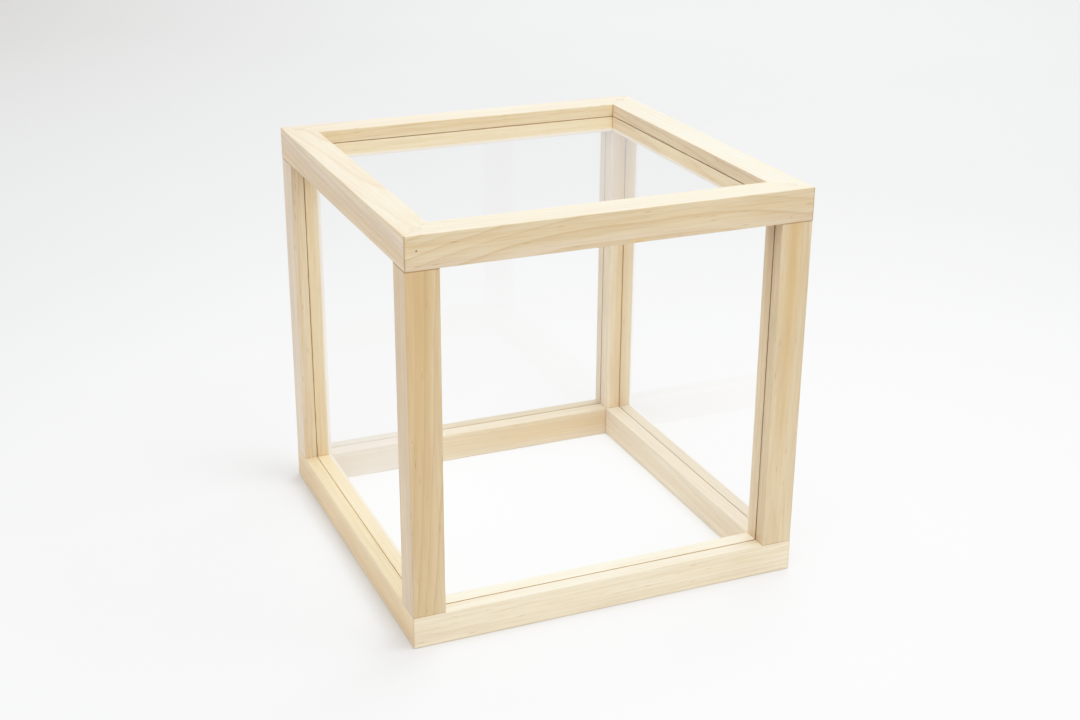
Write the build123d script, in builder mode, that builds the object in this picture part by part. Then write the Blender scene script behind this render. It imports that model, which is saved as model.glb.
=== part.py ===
"""Display cover cube: a pine frame with clear acrylic panels let into grooves, open underneath.

Millimetres, +Z up, and the front faces -Y. The origin is the centre of the footprint, on the resting
plane. Each ring is four sticks mitred at the corners, and four posts are butted between the two rings.
A screw under a wooden plug runs through each ring corner into the end of a post, and a brad pins each
mitre of the top ring. Whatever repeats round the cube is made once at the front and turned into place.
"""

from build123d import *
import os

# Frame
CUBE = 400.0  # outside width, depth and height
STICK = 32.0  # square section of every stick
ARRIS = 0.8  # radius of the eased edges, along the sticks and at the corners of the cube
GLUE_LINE = 0.1  # between the two sawn faces of a mitre

# Clear panels and the grooves that hold them
PANEL_THICKNESS = 2.0
PANEL_EASE = 0.3  # chamfer that takes the saw edge off a panel
PANEL_PLAY = 1.0  # free space between a panel's edge and the bottom of its groove
GROOVE_WIDTH = 2.3
GROOVE_DEPTH = 8.0
GROOVE_SETBACK = 14.5  # from the outside of the frame to the middle of a groove

# Corner screws, countersunk under a round plug
SCREW_LENGTH = 50.0
SCREW_DIAMETER = 4.0  # over the thread
SCREW_SHANK = 2.8  # plain part, and the root of the thread
SCREW_PLAIN = 20.0  # from the top of the head to the first thread
SCREW_PITCH = 1.8
SCREW_POINT = 4.0  # length of the taper at the tip
SCREW_HOLE = 4.1
HEAD_DIAMETER = 8.0
HEAD_RIM = 0.4  # straight edge round the head
HEAD_ANGLE = 90.0
HEAD_GAP = 0.05  # slack round the head
RECESS_WIDTH = 1.0  # cross recess in the head
RECESS_SPAN = 4.4
RECESS_DEPTH = 1.6
PLUG_DIAMETER = 9.9
PLUG_HOLE = 10.0
PLUG_DEPTH = 6.0
PLUG_EASE = 0.4  # chamfer at the plug's inner end

# Brads through the mitres of the top ring, one from the left end of each rail as seen from outside
BRAD_LENGTH = 25.0
BRAD_DIAMETER = 1.2
BRAD_HEAD = 1.8
BRAD_HEAD_LENGTH = 1.0
BRAD_POINT = 2.0
BRAD_SET = 0.5  # how far a head is punched below the surface
BRAD_GAP = 0.02  # slack round a brad
BRAD_INSET = 11.0  # from the corner of the frame to a brad's centre line
BRAD_DROP = 14.0  # from the top of the frame to a brad's centre line

# Worked out from the above
HALF = CUBE / 2
POST_LENGTH = CUBE - 2 * STICK
POST_CENTRE = -HALF + STICK / 2  # both x and y of the front left post
CORNER_PITCH = CUBE - STICK  # spacing of the corner screws, both ways
GROOVE_LINE = -HALF + GROOVE_SETBACK  # middle of the front or left groove
GROOVE_MOUTH = -HALF + STICK  # inner face of the front or left sticks
PANEL_WIDTH = POST_LENGTH + 2 * (GROOVE_DEPTH - PANEL_PLAY)
SIDE_PANEL_FOOT = STICK - GROOVE_DEPTH  # side panels stand on the bottom of the base groove
SIDE_PANEL_HEIGHT = POST_LENGTH + 2 * GROOVE_DEPTH - PANEL_PLAY
TOP_PANEL_SEAT = CUBE - GROOVE_SETBACK - GROOVE_WIDTH / 2  # lower wall of the top groove
SCREW_TOP = CUBE - PLUG_DEPTH
MIDDLE = Plane.XY.offset(HALF)

SIDE_TURNS = {"front": 0, "right": 90, "back": 180, "left": 270}
CORNER_TURNS = {"front_left": 0, "front_right": 90, "back_right": 180, "back_left": 270}


def save(builder, name):
    """Name a finished piece and write it out."""
    builder.part.label = name
    export_step(builder.part, f"parts/{name}.step")


def mitred_stick(holds_top_panel):
    """The front stick of the top ring, grooved and then sawn at 45 degrees at both ends."""
    with BuildPart() as stick:
        with BuildSketch(Plane.YZ.offset(-HALF)):
            with Locations((POST_CENTRE, CUBE - STICK / 2)):
                RectangleRounded(STICK, STICK, ARRIS)
            with Locations((GROOVE_LINE, CUBE - STICK)):
                Rectangle(GROOVE_WIDTH, 2 * GROOVE_DEPTH, mode=Mode.SUBTRACT)
            if holds_top_panel:
                with Locations((GROOVE_MOUTH, CUBE - GROOVE_SETBACK)):
                    Rectangle(2 * GROOVE_DEPTH, GROOVE_WIDTH, mode=Mode.SUBTRACT)
        extrude(amount=CUBE)
        for end in (-1, 1):
            mitre = Plane(origin=(end * HALF, -HALF, 0), x_dir=(0, 0, 1), z_dir=(end, 1, 0))
            split(bisect_by=mitre.offset(-GLUE_LINE / 2), keep=Keep.BOTTOM)
        with BuildSketch(Plane.XY):
            Rectangle(CUBE + STICK, CUBE + STICK)
            RectangleRounded(CUBE, CUBE, ARRIS, mode=Mode.SUBTRACT)
        extrude(amount=CUBE, mode=Mode.SUBTRACT)
    return stick.part


def brad_places():
    """Where the four brads of the top ring enter, each place's Z pointing out of the wood."""
    entry = Plane(origin=(BRAD_INSET - HALF, -HALF, CUBE - BRAD_DROP), z_dir=(0, -1, 0))
    return [Rotation(0, 0, turn) * entry.location for turn in SIDE_TURNS.values()]


def drill_for_screws():
    """The four countersunk and plugged screw holes of the top ring, cut in whichever stick is being made."""
    with Locations(Plane.XY.offset(CUBE)):
        with GridLocations(CORNER_PITCH, CORNER_PITCH, 2, 2):
            Hole(PLUG_HOLE / 2, depth=PLUG_DEPTH)
    with Locations(Plane.XY.offset(SCREW_TOP - HEAD_RIM)):
        with GridLocations(CORNER_PITCH, CORNER_PITCH, 2, 2):
            CounterSinkHole(
                SCREW_HOLE / 2,
                HEAD_DIAMETER / 2 + HEAD_GAP,
                depth=STICK,
                counter_sink_angle=HEAD_ANGLE,
            )


def drill_for_brads():
    """The four brad holes of the top ring, cut in whichever stick is being made."""
    with Locations(*brad_places()):
        CounterBoreHole(
            BRAD_DIAMETER / 2 + BRAD_GAP,
            BRAD_HEAD / 2 + BRAD_GAP,
            BRAD_SET + BRAD_HEAD_LENGTH,
            depth=BRAD_SET + BRAD_LENGTH + BRAD_GAP,
        )


def make_rail(name, turn, in_top_ring):
    """One stick of a ring. The base ring mirrors the top one, but holds no horizontal panel."""
    stick = mitred_stick(holds_top_panel=in_top_ring)
    with BuildPart() as rail:
        add(stick, rotation=(0, 0, turn))
        drill_for_screws()
        if in_top_ring:
            drill_for_brads()
        else:
            mirror(about=MIDDLE, mode=Mode.REPLACE)
    save(rail, name)


def make_post(name, turn):
    """One square-ended corner post, with a groove in each inner face and a screw hole in each end."""
    with BuildPart() as stick:
        with BuildSketch(Plane.XY.offset(STICK)):
            with Locations((POST_CENTRE, POST_CENTRE)):
                RectangleRounded(STICK, STICK, ARRIS)
            with Locations((GROOVE_MOUTH, GROOVE_LINE)):
                Rectangle(2 * GROOVE_DEPTH, GROOVE_WIDTH, mode=Mode.SUBTRACT)
            with Locations((GROOVE_LINE, GROOVE_MOUTH)):
                Rectangle(GROOVE_WIDTH, 2 * GROOVE_DEPTH, mode=Mode.SUBTRACT)
        extrude(amount=POST_LENGTH)
        with Locations((POST_CENTRE, POST_CENTRE, SCREW_TOP)):
            Hole(SCREW_HOLE / 2, depth=SCREW_LENGTH)
        with Locations((POST_CENTRE, POST_CENTRE, PLUG_DEPTH + SCREW_LENGTH)):
            Hole(SCREW_HOLE / 2, depth=SCREW_LENGTH)
    with BuildPart() as post:
        add(stick.part, rotation=(0, 0, turn))
    save(post, name)


def make_side_panel(name, turn):
    """One upright clear panel, in the middle of its grooves."""
    with BuildPart() as sheet:
        with BuildSketch(Plane.XZ.offset(-GROOVE_LINE - PANEL_THICKNESS / 2)):
            with Locations((0, SIDE_PANEL_FOOT)):
                Rectangle(PANEL_WIDTH, SIDE_PANEL_HEIGHT, align=(Align.CENTER, Align.MIN))
        extrude(amount=PANEL_THICKNESS)
        chamfer(sheet.edges(), length=PANEL_EASE)
    with BuildPart() as panel:
        add(sheet.part, rotation=(0, 0, turn))
    save(panel, name)


def make_top_panel():
    """The horizontal clear panel, lying on the lower wall of the top ring's groove."""
    with BuildPart() as panel:
        with BuildSketch(Plane.XY.offset(TOP_PANEL_SEAT)):
            Rectangle(PANEL_WIDTH, PANEL_WIDTH)
        extrude(amount=PANEL_THICKNESS)
        chamfer(panel.edges(), length=PANEL_EASE)
    save(panel, "top_panel")


def countersunk_screw():
    """One wood screw hanging from the origin, head up; the thread is a stack of ridges."""
    head = HEAD_DIAMETER / 2
    shank = SCREW_SHANK / 2
    crest = SCREW_DIAMETER / 2
    tip_start = SCREW_POINT - SCREW_LENGTH
    ridge_count = int((SCREW_LENGTH - SCREW_PLAIN - SCREW_POINT) / SCREW_PITCH)
    outline = [(0, 0), (head, 0), (head, -HEAD_RIM), (shank, shank - head - HEAD_RIM)]
    for ridge in range(ridge_count):
        start = -SCREW_PLAIN - ridge * SCREW_PITCH
        outline += [(shank, start), (crest, start - SCREW_PITCH / 2)]
    outline += [(shank, -SCREW_PLAIN - ridge_count * SCREW_PITCH), (shank, tip_start)]
    outline += [(0, -SCREW_LENGTH)]
    with BuildPart() as screw:
        with BuildSketch(Plane.XZ):
            with BuildLine():
                Polyline(*outline, close=True)
            make_face()
        revolve(axis=Axis.Z)
        with BuildSketch(Plane.XY):
            Rectangle(RECESS_SPAN, RECESS_WIDTH)
            Rectangle(RECESS_WIDTH, RECESS_SPAN)
        extrude(amount=-RECESS_DEPTH, mode=Mode.SUBTRACT)
    return screw.part


def round_plug():
    """One plug standing on the origin, its inner end eased so that it enters the hole."""
    with BuildPart() as plug:
        with BuildSketch(Plane.XY):
            Circle(PLUG_DIAMETER / 2)
        extrude(amount=PLUG_DEPTH)
        chamfer(plug.edges().group_by(Axis.Z)[0], length=PLUG_EASE)
    return plug.part


def brad():
    """One brad hanging below the origin by the depth it is punched in."""
    head = BRAD_HEAD / 2
    shank = BRAD_DIAMETER / 2
    under_head = -BRAD_SET - BRAD_HEAD_LENGTH
    tip = -BRAD_SET - BRAD_LENGTH
    outline = [(0, -BRAD_SET), (head, -BRAD_SET), (head, under_head), (shank, under_head)]
    outline += [(shank, tip + BRAD_POINT), (0, tip)]
    with BuildPart() as pin:
        with BuildSketch(Plane.XZ):
            with BuildLine():
                Polyline(*outline, close=True)
            make_face()
        revolve(axis=Axis.Z)
    return pin.part


def make_set(name, piece, places, in_top_ring):
    """Copies of one fastener at the places of the top ring, or mirrored down to the base ring."""
    with BuildPart() as group:
        for place in places:
            add(piece.moved(place))
        if not in_top_ring:
            mirror(about=MIDDLE, mode=Mode.REPLACE)
    save(group, name)


def corner_places(height):
    """The four ring corners, over the centres of the posts, at one height."""
    with_height = Plane.XY.offset(height).location
    return [with_height * place for place in GridLocations(CORNER_PITCH, CORNER_PITCH, 2, 2)]


os.makedirs("parts", exist_ok=True)

for side, turn in SIDE_TURNS.items():
    make_rail(f"top_{side}_rail", turn, in_top_ring=True)
    make_rail(f"bottom_{side}_rail", turn, in_top_ring=False)
    make_side_panel(f"{side}_panel", turn)
make_top_panel()

for corner, turn in CORNER_TURNS.items():
    make_post(f"{corner}_post", turn)

for ring in ("top", "bottom"):
    at_top = ring == "top"
    make_set(f"{ring}_corner_screws", countersunk_screw(), corner_places(SCREW_TOP), at_top)
    make_set(f"{ring}_screw_plugs", round_plug(), corner_places(SCREW_TOP), at_top)
make_set("top_mitre_brads", brad(), brad_places(), in_top_ring=True)
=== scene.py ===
"""Looks of the display cover cube: its pine frame, clear panels and steel fastenings, in a white studio.

Metres, in the frame of the CAD: +Z up, the front faces -Y, and the origin is the centre of the
footprint on the floor. Every shape is the CAD's own. This script gives each node its material, and
makes the studio, the lights and the camera.
"""

import math
from collections import namedtuple

import bmesh
import bpy
from mathutils import Matrix, Vector


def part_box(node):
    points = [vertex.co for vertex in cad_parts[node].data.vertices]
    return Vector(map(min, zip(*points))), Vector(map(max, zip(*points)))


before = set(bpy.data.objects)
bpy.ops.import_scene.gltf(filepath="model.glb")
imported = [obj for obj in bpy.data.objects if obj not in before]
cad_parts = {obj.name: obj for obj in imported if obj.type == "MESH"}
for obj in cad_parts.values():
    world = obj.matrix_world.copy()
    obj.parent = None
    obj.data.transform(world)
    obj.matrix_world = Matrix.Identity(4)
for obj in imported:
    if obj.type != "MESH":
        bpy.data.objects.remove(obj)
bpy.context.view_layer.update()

MM = 0.001

# Colours of wood, as linear reflectances
SAPWOOD = (0.93, 0.79, 0.59)  # the palest wood, from under the bark
CREAM = (0.86, 0.665, 0.42)  # earlywood
TAN = (0.62, 0.40, 0.20)  # latewood
GOLD = (0.76, 0.49, 0.22)  # resin-rich bands
ROSE = (0.78, 0.59, 0.43)  # pinkish bands
UMBER = (0.26, 0.13, 0.05)  # resin, the rims of holes, and the stain and painted shade at seams and in grooves
PLUG_PALE = (0.66, 0.57, 0.42)
PLUG_DARK = (0.50, 0.41, 0.28)

# Which frame axis a stick's grain runs along, then the two axes across it. The first of those is up
# for a rail and to the right for a post.
GRAIN_AXES = {
    "front": "XZY",
    "back": "XZY",
    "left": "YZX",
    "right": "YZX",
    "post": "ZXY",
}

# How one stick was sawn from its log, and how it looks.
# pith: where the log's centre lies from the stick's, across the grain
# slope, bow: how the pith drifts along the stick, per metre and per square metre
# ring: width of a year's growth
# late: strength of the latewood lines
# sap: how much of it is sapwood
# gold, rose: each coloured band's middle on the first axis across, its half width, and its strength
#     near the stick's low, left or front end, and near its other end
# tone: brightness
Stick = namedtuple("Stick", "pith slope bow ring late sap gold rose tone")

STICKS = {
    "top_front_rail": Stick(
        pith=(-0.035, 0.070), slope=(0.088, 0.02), bow=(-0.565, 0.0), ring=0.0060, late=0.55,
        sap=0.0, gold=(0.004, 0.009, 0.25, 0.25), rose=(-0.012, 0.009, 0.6, 0.35), tone=0.875,
    ),
    "top_back_rail": Stick(
        pith=(0.070, 0.020), slope=(0.01, 0.01), bow=(-0.03, 0.0), ring=0.0060, late=0.45,
        sap=0.1, gold=(0.01, 0.009, 0.2, 0.2), rose=(-0.008, 0.009, 0.2, 0.2), tone=0.92,
    ),
    "top_left_rail": Stick(
        pith=(-0.06, 0.02), slope=(0.04, 0.01), bow=(0.05, 0.01), ring=0.0065, late=0.9,
        sap=0.0, gold=(-0.006, 0.014, 0.65, 0.65), rose=(0.0, 0.012, 0.9, 0.9), tone=0.915,
    ),
    "top_right_rail": Stick(
        pith=(-0.02, -0.05), slope=(0.01, 0.02), bow=(0.02, 0.03), ring=0.0055, late=0.7,
        sap=0.25, gold=(-0.008, 0.009, 0.4, 0.4), rose=(0.016, 0.009, 0.4, 0.4), tone=0.99,
    ),
    "bottom_front_rail": Stick(
        pith=(-0.090, 0.020), slope=(0.01, 0.0), bow=(0.03, 0.02), ring=0.0042, late=0.34,
        sap=0.65, gold=(0.006, 0.009, 0.05, 0.1), rose=(-0.008, 0.009, 0.2, 0.3), tone=1.1,
    ),
    "bottom_back_rail": Stick(
        pith=(0.080, -0.030), slope=(-0.01, 0.01), bow=(0.02, 0.0), ring=0.0045, late=0.50,
        sap=0.0, gold=(0.002, 0.018, 0.35, 0.85), rose=(-0.01, 0.009, 0.25, 0.25), tone=0.765,
    ),
    "bottom_left_rail": Stick(
        pith=(0.020, 0.070), slope=(0.02, 0.0), bow=(0.0, 0.02), ring=0.0050, late=0.50,
        sap=0.0, gold=(0.0, 0.026, 0.9, 0.9), rose=(-0.012, 0.01, 0.4, 0.4), tone=1.02,
    ),
    "bottom_right_rail": Stick(
        pith=(0.040, -0.060), slope=(0.02, -0.01), bow=(0.02, 0.02), ring=0.0060, late=0.50,
        sap=0.1, gold=(0.0, 0.01, 0.45, 0.35), rose=(0.012, 0.009, 0.3, 0.3), tone=0.81,
    ),
    "front_left_post": Stick(
        pith=(0.045, 0.050), slope=(0.025, 0.02), bow=(-0.22, 0.02), ring=0.0050, late=0.65,
        sap=0.0, gold=(-0.004, 0.026, 0.5, 0.95), rose=(-0.019, 0.007, 0.8, 0.8), tone=0.83,
    ),
    "front_right_post": Stick(
        pith=(-0.020, 0.060), slope=(0.02, 0.01), bow=(0.04, 0.01), ring=0.0060, late=0.38,
        sap=0.0, gold=(-0.003, 0.015, 0.25, 1.0), rose=(0.016, 0.008, 0.2, 0.2), tone=0.86,
    ),
    "back_left_post": Stick(
        pith=(0.060, -0.040), slope=(0.02, 0.01), bow=(0.02, 0.04), ring=0.0055, late=0.40,
        sap=0.3, gold=(0.002, 0.01, 0.5, 0.5), rose=(-0.016, 0.012, 0.6, 0.6), tone=0.93,
    ),
    "back_right_post": Stick(
        pith=(-0.050, -0.050), slope=(0.01, 0.02), bow=(0.04, 0.02), ring=0.0055, late=0.40,
        sap=0.0, gold=(0.0, 0.014, 0.9, 0.9), rose=(-0.016, 0.009, 0.25, 0.25), tone=0.955,
    ),
}

# Repeats of each wood texture per metre, along the grain and across it
RING_WOBBLE = (4.0, 18.0)
BAND_EDGES = (5.0, 55.0)
RESIN_CANALS = (60.0, 560.0)
STREAKS = (7.0, 240.0)
FIBRES = (20.0, 800.0)
CLOUDS = (9.0, 30.0)

# Each stick's seed is a multiple of the first. The others are added to it for one texture each.
STICK_SEED = 7.3
ROSE_SEED, GOLD_SEED, STREAK_SEED, FIBRE_SEED, CLOUD_SEED = 57.0, 31.0, 11.0, 23.0, 5.0

# Shares of a year's growth: where its wood starts to darken, where its dark line starts and is
# full, and where that line starts to give way to the next spring
DARKENING, LINE_START, LINE_FULL, LINE_END = 0.15, 0.74, 0.92, 0.95
DARKENING_SHARE, LINE_SHARE = 0.45, 0.55  # of the latewood's strength
WEAKEST_YEAR = 0.45  # strength of the faintest ring, against the strongest
RING_SWAY = 12 * MM  # how much the rings waver
BAND_WANDER = 16 * MM  # how much a coloured band's edges waver
BAND_REACH = 0.15  # from a stick's middle to where a band has its strength for that end
BAND_CORE = 0.1  # share of a band's half width that has its full colour

STREAK_STRENGTH = 0.30
FIBRE_STRENGTH = 0.42
DASH_STRENGTH = 0.40
CLOUD_DARK, CLOUD_BRIGHT = 0.95, 1.05  # brightness of a stick's darker and brighter patches

# Small knots: how far along the stick from its middle, how far on the first axis across, how big,
# and how dark
Knot = namedtuple("Knot", "along across size dark")

KNOTS = {
    "top_front_rail": (Knot(0.020, -0.016, 4.0 * MM, 0.15), Knot(0.176, -0.010, 1.0 * MM, 0.35)),
    "front_left_post": (Knot(0.010, -0.0125, 1.1 * MM, 0.30),),
}
HALO_STRENGTH = 0.6  # of the golden wood round a knot

# The brads leave a faint rust stain near one end of each top rail
BRAD_END = {"front": -1, "back": 1, "left": 1, "right": -1}
BRAD_INSET = 11.0 * MM  # from that end
BRAD_ABOVE = 2.0 * MM  # above the middle of the rail
BRAD_STAIN_SIZE = 0.8 * MM
BRAD_STAIN_DARK = 0.10

# Stains with painted shade beside joints, and painted shade beside panels: out to the first distance
# they're full, and at the second gone
SEAM_REACH = (0.25 * MM, 1.1 * MM)
GROOVE_REACH = (0.15 * MM, 0.50 * MM)
POST_STAIN_AND_SHADE = 0.65  # stain and painted shade at the top end of a post
MITRE_STAIN_AND_SHADE = 0.48  # stain and painted shade at the top ring's mitres
# painted shade in the grooves that hold the panels
GROOVE_SHADE = 0.55
BASE_SHARE = 0.6  # of the stain and painted shade at the base ring, against the top ring, whose joints lie in more shade
LEVEL_SHARE = 0.4  # of the stain and painted shade on a face that looks up, where more light falls, against an upright one

# Plugs
PLUG_RADIUS = 4.95 * MM
PLUG_RIM = (4.2 * MM, 4.9 * MM)  # where the rim's stain starts and is full, from the plug's middle
PLUG_RINGS = 220.0  # scale of the end grain's rings

PANEL_SIDES = ("front", "back", "left", "right", "top")

# Camera
LENS = 54.8  # focal length and sensor width in millimetres
SENSOR_WIDTH = 36.0
CAMERA_PLACE = (-0.6095, -1.4488, 0.8217)
CAMERA_HEADING = 23.16  # degrees from +Y towards +X
CAMERA_PITCH = 22.11  # degrees below the horizon
CAMERA_ROLL = 0.40  # degrees

# Studio
FLOOR_RINGS = (0.0, 0.4, 1.2, 2.4)  # radii of the mesh's circles in the flat part of the white bowl
FLOOR_RADIUS = 3.6  # where the flat part ends
BOWL_CURVE = 2.2  # radius of the turn from floor to wall
BOWL_STEPS = 16  # in that turn
BOWL_SIDES = 96
WALL_TOP = 4.0
FLOOR_GAP = 0.4 * MM  # a sawn frame doesn't touch the floor all round
PAPER_DARK = (0.903, 0.91, 0.913)
PAPER_PALE = (0.923, 0.93, 0.933)
SHADE = (0.775, 0.755, 0.73)  # painted shade on the paper in the middle of its greyer patch, where less light falls
SHADE_PLACE = (-1.0, 3.6, 0.0)
SHADE_CORE, SHADE_REACH = 0.2, 2.4  # out to the first it has all that painted shade, and at the second none
NO_SHADE = (1.0, 1.0, 1.0)
WORLD_STRENGTH = 0.76

# Each softbox: where it hangs, what it faces, its side, and its power in watts
Softbox = namedtuple("Softbox", "place target side power")

SOFTBOXES = {
    "overhead_softbox": Softbox((0.2, -0.2, 1.3), (0.2, -0.2, 0.0), 0.8, 13.2),
    "side_softbox": Softbox((-0.8, -0.8, 1.2), (0.0, 0.0, 0.1), 0.8, 3.3),
    "background_softbox": Softbox((1.8, 2.0, 3.0), (1.0, 1.8, 0.0), 2.4, 48.0),
    "wall_wash": Softbox((1.6, 3.4, 3.4), (2.3, 5.4, 2.2), 2.0, 18.0),
}

# The film's curve from light to brightness: straight up to the midtones, then a long shoulder
FILM_CURVE = ((0.25, 0.25), (0.5, 0.5), (0.75, 0.70), (1.0, 0.83), (1.3, 0.94), (1.7, 0.982))
FILM_WHITE = 2.4  # the light that comes out as full white
FILM_RANGE = 3.0


class Graph:
    """Writes shader nodes into one tree. Inputs may be numbers, colours or other nodes' outputs."""

    def __init__(self, tree):
        self.tree = tree
        tree.nodes.clear()

    def add(self, kind, inputs=None, **settings):
        """A new node. Its inputs are given by name or by number."""
        made = self.tree.nodes.new(kind)
        for name, value in settings.items():
            setattr(made, name, value)
        for name, value in (inputs or {}).items():
            if isinstance(value, bpy.types.NodeSocket):
                self.tree.links.new(value, made.inputs[name])
            else:
                made.inputs[name].default_value = value
        return made

    def here(self):
        """The place of the point that is being shaded, in the frame."""
        return self.add("ShaderNodeTexCoord").outputs["Object"]

    def split(self, vector):
        """A vector's three numbers."""
        return self.add("ShaderNodeSeparateXYZ", {0: vector}).outputs

    def math(self, operation, *values):
        """One Math node's output."""
        return self.add("ShaderNodeMath", dict(enumerate(values)), operation=operation).outputs[0]

    def diagonal(self, sides):
        """The square root of the sum of two numbers' squares."""
        squares = (self.math("MULTIPLY", side, side) for side in sides)
        return self.math("SQRT", self.math("ADD", *squares))

    def vector(self, operation, *values):
        """One Vector Math node's output."""
        made = self.add("ShaderNodeVectorMath", dict(enumerate(values)), operation=operation)
        return made.outputs["Value" if operation in ("LENGTH", "DISTANCE") else "Vector"]

    def ramp(self, value, start, end, low=0.0, high=1.0):
        """Takes value smoothly from low at start to high at end."""
        places = {"Value": value, "From Min": start, "From Max": end, "To Min": low, "To Max": high}
        return self.add("ShaderNodeMapRange", places, interpolation_type="SMOOTHSTEP").outputs[0]

    def mix(self, share, a, b, blend="MIX"):
        """Colour a with that share of colour b."""
        inputs = {0: share, 6: opaque(a), 7: opaque(b)}
        return self.add("ShaderNodeMix", inputs, data_type="RGBA", blend_type=blend).outputs[2]

    def grey(self, brightness):
        """A grey of that brightness."""
        inputs = {channel: brightness for channel in range(3)}
        return self.add("ShaderNodeCombineColor", inputs).outputs[0]

    def stretched(self, point, repeats, seed):
        """A point scaled for a texture's repeats along and across the grain, and moved by its seed."""
        along, across = repeats
        scaled = self.vector("MULTIPLY", point, (along, across, across))
        return self.vector("ADD", scaled, (seed, seed * 1.7, seed * 2.3))

    def scattered(self, point, repeats, seed):
        """A point scaled for a texture that has no grain, and moved by its seed."""
        return self.stretched(point, (repeats, repeats), seed)

    def noise(self, point, detail=2.0, roughness=0.5, output="Fac"):
        """Noise at a point that is already scaled."""
        inputs = {"Vector": point, "Scale": 1.0, "Detail": detail, "Roughness": roughness}
        return self.add("ShaderNodeTexNoise", inputs).outputs[output]

    def bump(self, height, strength, depth):
        """A normal that follows height, in units of depth metres."""
        inputs = {"Height": height, "Strength": strength, "Distance": depth}
        return self.add("ShaderNodeBump", inputs).outputs[0]

    def principled(self, inputs):
        """A Principled shader."""
        return self.add("ShaderNodeBsdfPrincipled", inputs).outputs[0]

    def finish(self, shader):
        """Puts a shader on the surface."""
        self.add("ShaderNodeOutputMaterial", {"Surface": shader})


def opaque(colour):
    """A colour of three numbers with an alpha of one; sockets are left as they are."""
    return colour if isinstance(colour, bpy.types.NodeSocket) else (*colour, 1.0)


def new_material(name):
    """An empty node material and the graph that fills it."""
    material = bpy.data.materials.new(name)
    material.use_nodes = True
    return material, Graph(material.node_tree)


def dress(node, material):
    """Puts one material on the whole of a CAD node."""
    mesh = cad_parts[node].data
    mesh.materials.clear()
    mesh.materials.append(material)


def grain_point(graph, node, axes):
    """A point measured from a stick's centre: along the grain, then the two ways across it."""
    low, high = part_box(node)
    split = graph.split(graph.vector("SUBTRACT", graph.here(), (low + high) / 2))
    order = {"XYZ".index(axis): place for place, axis in enumerate(axes)}
    inputs = {order[i]: split[i] for i in range(3)}
    return graph.add("ShaderNodeCombineXYZ", inputs).outputs[0]


def growth_rings(graph, point, stick, seed):
    """How far each point is into latewood: nought in spring growth, and at most one at a year's end."""
    along, *across = graph.split(point)
    wobble = graph.noise(graph.stretched(point, RING_WOBBLE, seed), 1.5, 0.5, "Color")
    sway = graph.split(graph.vector("SUBTRACT", wobble, (0.5, 0.5, 0.5)))
    squared = graph.math("MULTIPLY", along, along)
    from_pith = []
    for i in (0, 1):
        drift = graph.math("MULTIPLY_ADD", along, stick.slope[i], stick.pith[i])
        drift = graph.math("MULTIPLY_ADD", squared, stick.bow[i], drift)
        offset = graph.math("SUBTRACT", across[i], drift)
        from_pith.append(graph.math("MULTIPLY_ADD", sway[i], RING_SWAY, offset))
    years = graph.math("DIVIDE", graph.diagonal(from_pith), stick.ring)
    season = graph.math("FRACT", years)
    broad = graph.ramp(season, DARKENING, LINE_FULL, 0.0, DARKENING_SHARE)
    line = graph.ramp(season, LINE_START, LINE_FULL, 0.0, LINE_SHARE)
    fall = graph.ramp(season, LINE_END, 1.0, 1.0, 0.0)
    number = graph.math("FLOOR", years)
    year = graph.add("ShaderNodeTexWhiteNoise", {"W": number}, noise_dimensions="1D")
    strength = graph.ramp(year.outputs["Value"], 0.0, 1.0, WEAKEST_YEAR, 1.0)
    late = graph.math("MULTIPLY", graph.math("ADD", broad, line), fall)
    return graph.math("MULTIPLY", late, strength)


def coloured_band(graph, point, band, seed):
    """How strongly a band that runs along the stick colours each point. Its edges wander."""
    middle, half_width, start, end = band
    along, across, _ = graph.split(point)
    wander = graph.noise(graph.stretched(point, BAND_EDGES, seed), 3.0, 0.6)
    shifted = graph.math("MULTIPLY_ADD", graph.math("SUBTRACT", wander, 0.5), BAND_WANDER, across)
    reach = graph.math("ABSOLUTE", graph.math("SUBTRACT", shifted, middle))
    inside = graph.ramp(reach, half_width * BAND_CORE, half_width, 1.0, 0.0)
    return graph.math("MULTIPLY", inside, graph.ramp(along, -BAND_REACH, BAND_REACH, start, end))


def resin_dashes(graph, point, seed):
    """Short dark resin canals, in the few cells of a pattern that are picked to hold one."""
    cells = graph.stretched(point, RESIN_CANALS, seed)
    found = graph.add("ShaderNodeTexVoronoi", {"Vector": cells, "Scale": 1.0}).outputs
    picked = graph.add("ShaderNodeSeparateColor", {0: found["Color"]}).outputs[0]
    return graph.math(
        "MULTIPLY",
        graph.ramp(found["Distance"], 0.12, 0.34, 1.0, 0.0),
        graph.ramp(picked, 0.84, 0.97),
    )


def add_knots(graph, point, colour, knots):
    """Knots with a golden halo round a dark heart, drawn out a little along the grain."""
    for knot in knots:
        offset = graph.vector("SUBTRACT", point, (knot.along, knot.across, 0.0))
        reach = graph.vector("LENGTH", graph.vector("MULTIPLY", offset, (0.5, 1.0, 0.0)))
        halo = graph.ramp(reach, knot.size * 0.5, knot.size * 1.6, HALO_STRENGTH, 0.0)
        colour = graph.mix(halo, colour, GOLD)
        heart = graph.ramp(reach, knot.size * 0.3, knot.size, knot.dark, 0.0)
        colour = graph.mix(heart, colour, UMBER)
    return colour


def brad_stain(node):
    """The stain round a top rail's brad."""
    low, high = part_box(node)
    half_length = max(high - low) / 2
    end = BRAD_END[node.split("_")[1]]
    return Knot(end * (half_length - BRAD_INSET), BRAD_ABOVE, BRAD_STAIN_SIZE, BRAD_STAIN_DARK)


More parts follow.
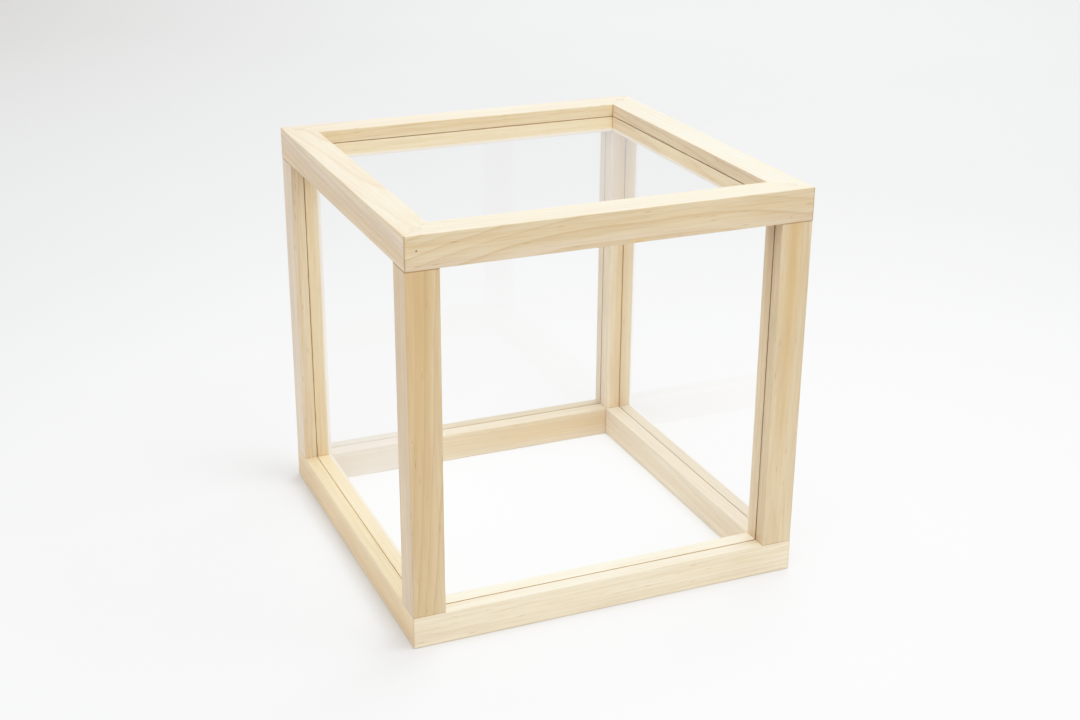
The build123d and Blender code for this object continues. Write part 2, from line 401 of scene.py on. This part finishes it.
def seam_stain_and_shade(graph, is_post):
    """Darker wood just beside a joint, a stain with painted shade: the mitres of a ring, or the ends of
    a post.

    The joints at the top get more painted shade, and a mitre less on the planed top of a ring, where
    more light falls.
    """
    strongest = POST_STAIN_AND_SHADE if is_post else MITRE_STAIN_AND_SHADE
    here = graph.split(graph.here())
    low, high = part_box("front_left_post")
    if is_post:
        middle, half = (low.z + high.z) / 2, (high.z - low.z) / 2
        from_middle = graph.math("ABSOLUTE", graph.math("SUBTRACT", here["Z"], middle))
        gap = graph.math("SUBTRACT", half, from_middle)
    else:
        across = (graph.math("ABSOLUTE", here[axis]) for axis in "XY")
        off_mitre = graph.math("ABSOLUTE", graph.math("SUBTRACT", *across))
        gap = graph.math("MULTIPLY", off_mitre, math.sqrt(0.5))
    # A stain with painted shade, full at the joint
    stain = graph.ramp(gap, *SEAM_REACH, 1.0, 0.0)
    facing = graph.split(graph.add("ShaderNodeNewGeometry").outputs["Normal"])["Z"]
    # Less painted shade on faces that look up, where light falls
    stain = graph.math("MULTIPLY", stain, graph.ramp(facing, 0.5, 1.0, 1.0, LEVEL_SHARE))
    # More painted shade at the top ring than at the base ring
    by_height = graph.ramp(here["Z"], low.z, high.z, BASE_SHARE * strongest, strongest)
    return graph.math("MULTIPLY", stain, by_height)


def groove_shade(graph):
    """Painted shade in the grooves and at their lips, wherever it's close to a panel."""
    here = graph.here()
    nearest = 1.0
    for side in PANEL_SIDES:
        low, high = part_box(side + "_panel")
        offset = graph.vector("ABSOLUTE", graph.vector("SUBTRACT", here, (low + high) / 2))
        outside = graph.vector("MAXIMUM", graph.vector("SUBTRACT", offset, (high - low) / 2), (0, 0, 0))
        nearest = graph.math("MINIMUM", graph.vector("LENGTH", outside), nearest)
    return graph.ramp(nearest, *GROOVE_REACH, GROOVE_SHADE, 0.0)


def pine(node, stick, seed):
    """Planed pine, for one stick. The raised fibres give it a soft sheen where it's seen at a slant."""
    is_post = node.endswith("post")
    axes = GRAIN_AXES["post" if is_post else node.split("_")[1]]
    material, graph = new_material("pine_" + node)
    point = grain_point(graph, node, axes)

    late = graph.math("MULTIPLY", growth_rings(graph, point, stick, seed), stick.late)
    base = graph.mix(stick.sap, CREAM, SAPWOOD)
    colour = graph.mix(coloured_band(graph, point, stick.rose, seed + ROSE_SEED), base, ROSE)
    colour = graph.mix(coloured_band(graph, point, stick.gold, seed + GOLD_SEED), colour, GOLD)
    colour = graph.mix(late, colour, TAN)

    streak = graph.noise(graph.stretched(point, STREAKS, seed + STREAK_SEED), 3.0, 0.6)
    colour = graph.mix(graph.ramp(streak, 0.38, 0.72, 0.0, STREAK_STRENGTH), colour, TAN)
    fibre = graph.noise(graph.stretched(point, FIBRES, seed + FIBRE_SEED), 3.0, 0.65)
    colour = graph.mix(graph.ramp(fibre, 0.42, 0.72, 0.0, FIBRE_STRENGTH), colour, TAN)
    cloud = graph.noise(graph.stretched(point, CLOUDS, seed + CLOUD_SEED), 2.0)
    bright = graph.ramp(cloud, 0.2, 0.8, stick.tone * CLOUD_DARK, stick.tone * CLOUD_BRIGHT)
    colour = graph.mix(1.0, colour, graph.grey(bright), "MULTIPLY")

    dark = graph.math("MULTIPLY", resin_dashes(graph, point, seed), DASH_STRENGTH)
    colour = graph.mix(dark, colour, UMBER)
    colour = add_knots(graph, point, colour, KNOTS.get(node, ()))
    if node.startswith("top_"):
        colour = add_knots(graph, point, colour, [brad_stain(node)])
    # Stain and painted shade beside joints, and painted shade in the grooves, both in umber
    dark_joints_and_shade = graph.math("MAXIMUM", seam_stain_and_shade(graph, is_post), groove_shade(graph))
    colour = graph.mix(dark_joints_and_shade, colour, UMBER)

    relief = graph.math("SUBTRACT", graph.math("MULTIPLY_ADD", fibre, 0.6, streak), dark)
    wood = graph.principled(
        {
            "Base Color": colour,
            "Roughness": graph.ramp(streak, 0.2, 0.8, 0.50, 0.66),
            "IOR": 1.5,
            "Sheen Weight": graph.ramp(dark_joints_and_shade, 0.0, 0.6, 0.36, 0.0),
            "Sheen Roughness": 0.5,
            "Normal": graph.bump(relief, 0.25, 0.12 * MM),
        }
    )
    graph.finish(wood)
    return material


def plug_wood():
    """End grain of the round plugs: greyer than the sticks, speckled, and stained round the rim."""
    material, graph = new_material("plug_wood")
    here = graph.here()
    speckle = graph.noise(graph.scattered(here, 900.0, 3.0), 3.0, 0.6)
    colour = graph.mix(graph.ramp(speckle, 0.35, 0.7), PLUG_PALE, PLUG_DARK)
    waves = {"Vector": here, "Scale": PLUG_RINGS, "Distortion": 2.0, "Detail": 2.0}
    rings = graph.add("ShaderNodeTexWave", waves).outputs["Fac"]
    colour = graph.mix(graph.math("MULTIPLY", rings, 0.25), colour, TAN)

    low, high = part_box("top_screw_plugs")
    plug_place = ((high - low) / 2).x - PLUG_RADIUS
    split = graph.split(here)
    offsets = [graph.math("SUBTRACT", graph.math("ABSOLUTE", split[i]), plug_place) for i in (0, 1)]
    rim = graph.ramp(graph.diagonal(offsets), *PLUG_RIM, 0.0, 0.6)
    colour = graph.mix(rim, colour, UMBER)
    plug = graph.principled(
        {
            "Base Color": colour,
            "Roughness": graph.ramp(speckle, 0.2, 0.8, 0.6, 0.8),
            "Normal": graph.bump(speckle, 0.3, 0.15 * MM),
        }
    )
    graph.finish(plug)
    return material


def clear_acrylic():
    """Cast acrylic sheet: clear, glossy, and open to the light of lamps."""
    material, graph = new_material("clear_acrylic")
    haze = graph.noise(graph.scattered(graph.here(), 9.0, 4.0), 2.0)
    sheet = graph.principled(
        {
            "Base Color": graph.mix(haze, (0.996, 0.998, 0.997), (0.988, 0.993, 0.991)),
            "Roughness": 0.0,
            "IOR": 1.49,
            "Transmission Weight": 1.0,
            "Normal": graph.bump(haze, 0.01, 0.2 * MM),
        }
    )
    to_lamps = graph.add("ShaderNodeBsdfTransparent", {"Color": (0.95, 0.96, 0.955, 1.0)})
    is_shadow = graph.add("ShaderNodeLightPath").outputs["Is Shadow Ray"]
    both = graph.add("ShaderNodeMixShader", {0: is_shadow, 1: sheet, 2: to_lamps.outputs[0]})
    graph.finish(both.outputs[0])
    return material


def steel(name, colour, stain, roughness):
    """Wire or screw steel, mottled with its plating or with rust."""
    material, graph = new_material(name)
    mottle = graph.noise(graph.scattered(graph.here(), 1300.0, 8.0), 3.0, 0.6)
    metal = graph.principled(
        {
            "Base Color": graph.mix(graph.ramp(mottle, 0.4, 0.75), colour, stain),
            "Metallic": graph.ramp(mottle, 0.4, 0.8, 1.0, 0.6),
            "Roughness": graph.ramp(mottle, 0.3, 0.7, roughness, roughness + 0.25),
            "Normal": graph.bump(mottle, 0.2, 0.05 * MM),
        }
    )
    graph.finish(metal)
    return material


def dress_frame():
    """Materials for every CAD node."""
    for number, (node, stick) in enumerate(STICKS.items(), start=1):
        dress(node, pine(node, stick, number * STICK_SEED))
    acrylic = clear_acrylic()
    for side in PANEL_SIDES:
        dress(side + "_panel", acrylic)
    plugs = plug_wood()
    screws = steel("zinc_steel", colour=(0.62, 0.60, 0.56), stain=(0.42, 0.38, 0.32), roughness=0.28)
    brads = steel("rusty_wire", colour=(0.46, 0.33, 0.22), stain=(0.34, 0.20, 0.10), roughness=0.6)
    dress("top_mitre_brads", brads)
    for ring in ("top", "bottom"):
        dress(ring + "_screw_plugs", plugs)
        dress(ring + "_corner_screws", screws)


def studio_bowl():
    """A white floor that turns up into a round wall, so every view and reflection ends on white."""
    profile = [(radius, -FLOOR_GAP) for radius in FLOOR_RINGS]
    for step in range(BOWL_STEPS + 1):
        turn = math.radians(90 * step / BOWL_STEPS)
        rise = BOWL_CURVE * (1 - math.cos(turn)) - FLOOR_GAP
        profile.append((FLOOR_RADIUS + BOWL_CURVE * math.sin(turn), rise))
    profile.append((FLOOR_RADIUS + BOWL_CURVE, WALL_TOP))
    shape = bmesh.new()
    points = [shape.verts.new((radius, 0, height)) for radius, height in profile]
    edges = [shape.edges.new(pair) for pair in zip(points, points[1:])]
    bmesh.ops.spin(
        shape,
        geom=points + edges,
        cent=(0, 0, 0),
        axis=(0, 0, 1),
        angle=math.tau,
        steps=BOWL_SIDES,
        use_merge=True,
    )
    bmesh.ops.remove_doubles(shape, verts=shape.verts, dist=MM)
    bmesh.ops.recalc_face_normals(shape, faces=shape.faces)
    for face in shape.faces:
        face.smooth = True
    mesh = bpy.data.meshes.new("studio_bowl")
    shape.to_mesh(mesh)
    shape.free()
    bowl = bpy.data.objects.new("studio_bowl", mesh)
    bpy.context.scene.collection.objects.link(bowl)
    mesh.materials.append(studio_white())


def studio_white():
    """Matt white paper, faintly cloudy, with painted shade in a greyer patch far out at the back left.
    """
    material, graph = new_material("studio_white")
    here = graph.here()
    cloud = graph.noise(graph.scattered(here, 1.1, 2.0), 3.0)
    paper = graph.mix(graph.ramp(cloud, 0.3, 0.7), PAPER_DARK, PAPER_PALE)
    # Painted shade: the paper turns greyer towards a patch far out at the back left
    distance = graph.vector("DISTANCE", here, SHADE_PLACE)
    shade = graph.mix(graph.ramp(distance, SHADE_CORE, SHADE_REACH), SHADE, NO_SHADE)
    colour = graph.mix(1.0, paper, shade, "MULTIPLY")
    graph.finish(graph.principled({"Base Color": colour, "Roughness": 0.9, "Specular IOR Level": 0.1}))
    return material


def hang(name, box):
    """A square area light, hidden from the camera itself."""
    lamp = bpy.data.lights.new(name, "AREA")
    lamp.shape = "SQUARE"
    lamp.size = box.side
    lamp.energy = box.power
    holder = bpy.data.objects.new(name, lamp)
    holder.location = box.place
    aim = Vector(box.target) - Vector(box.place)
    holder.rotation_euler = aim.to_track_quat("-Z", "Y").to_euler()
    holder.visible_camera = False
    bpy.context.scene.collection.objects.link(holder)


def soft_world():
    """Even white light from everywhere above the bowl."""
    world = bpy.data.worlds.new("soft_world")
    world.use_nodes = True
    graph = Graph(world.node_tree)
    sky = graph.add("ShaderNodeBackground", {"Color": (1.0, 1.0, 1.0, 1.0), "Strength": WORLD_STRENGTH})
    graph.add("ShaderNodeOutputWorld", {"Surface": sky.outputs[0]})
    bpy.context.scene.world = world


def film_response():
    """Gives the picture the film's curve, as a bright studio picture has."""
    view = bpy.context.scene.view_settings
    view.view_transform = "Standard"
    view.use_curve_mapping = True
    mapping = view.curve_mapping
    mapping.clip_max_x = FILM_RANGE
    mapping.clip_max_y = 1.0
    combined = mapping.curves[3]
    combined.points[0].location = (0.0, 0.0)
    combined.points[1].location = (FILM_WHITE, 1.0)
    for place in FILM_CURVE:
        combined.points.new(*place)
    mapping.update()


def place_camera():
    """The camera, at the picture's angle."""
    lens = bpy.data.cameras.new("camera")
    lens.lens = LENS
    lens.sensor_width = SENSOR_WIDTH
    camera = bpy.data.objects.new("camera", lens)
    turn = Matrix.Rotation(math.radians(-CAMERA_HEADING), 4, "Z")
    tilt = Matrix.Rotation(math.radians(90 - CAMERA_PITCH), 4, "X")
    roll = Matrix.Rotation(math.radians(CAMERA_ROLL), 4, "Z")
    camera.matrix_world = Matrix.Translation(CAMERA_PLACE) @ turn @ tilt @ roll
    bpy.context.scene.collection.objects.link(camera)
    bpy.context.scene.camera = camera


dress_frame()
studio_bowl()
for name, box in SOFTBOXES.items():
    hang(name, box)
soft_world()
film_response()
place_camera()
